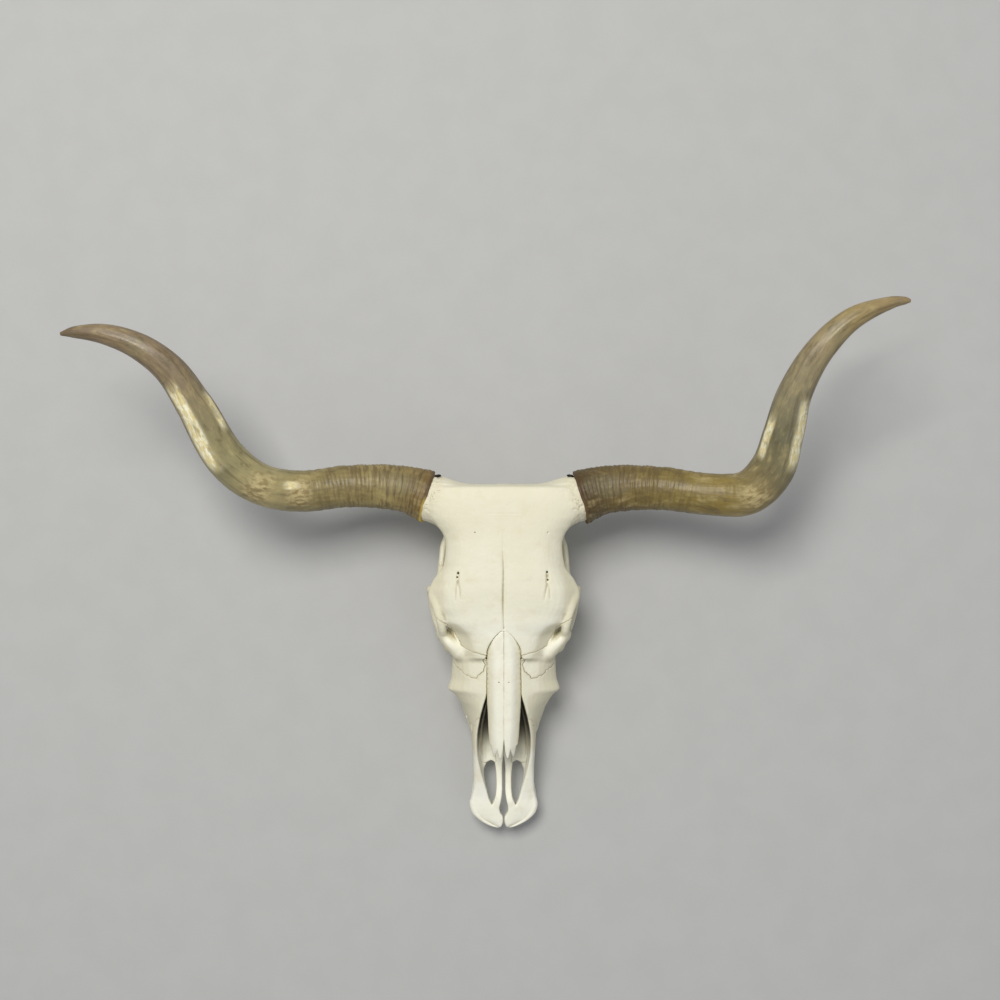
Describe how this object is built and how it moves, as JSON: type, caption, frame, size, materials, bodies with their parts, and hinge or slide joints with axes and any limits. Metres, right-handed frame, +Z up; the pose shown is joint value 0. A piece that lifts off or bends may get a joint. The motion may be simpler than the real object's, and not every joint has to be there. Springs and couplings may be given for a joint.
{
  "type": "longhorn steer skull",
  "caption": "Longhorn steer skull without its lower jaw, lying face up, its long horns sweeping out, forward and up from bony bosses at the corners of the poll.",
  "frame": {"origin": "middle of the bounding box's footprint, on the ground that the cheek teeth and jugular processes rest on", "axes": "+X towards the right horn's tip as seen face up from above with the nose down, +Y from the nose to the poll, +Z up out of the forehead"},
  "size_m": [1.2038, 0.8042, 0.2943],
  "materials": {
    "bone": "dry, matte, cleaned ivory-white bone with fine sutures, small foramina and pitting by the horns",
    "horn": "semi-gloss olive-brown keratin with fine rings at the base, lengthwise grain, cream streaks and dark tips",
    "screw": "black coated steel"
  },
  "bodies": {
    "root": {"frontal": "bone", "occipital": "bone", "braincase": "bone", "temporal_left": "bone", "temporal_right": "bone", "pterygoid_left": "bone", "pterygoid_right": "bone", "cheekbone_left": "bone", "cheekbone_right": "bone", "lacrimal_left": "bone", "lacrimal_right": "bone", "maxilla_left": "bone", "maxilla_right": "bone", "nasal_left": "bone", "nasal_right": "bone", "premaxilla_left": "bone", "premaxilla_right": "bone", "horn_left": "horn", "horn_right": "horn", "screw_left": "screw", "screw_right": "screw"}
  },
  "joints": []
}
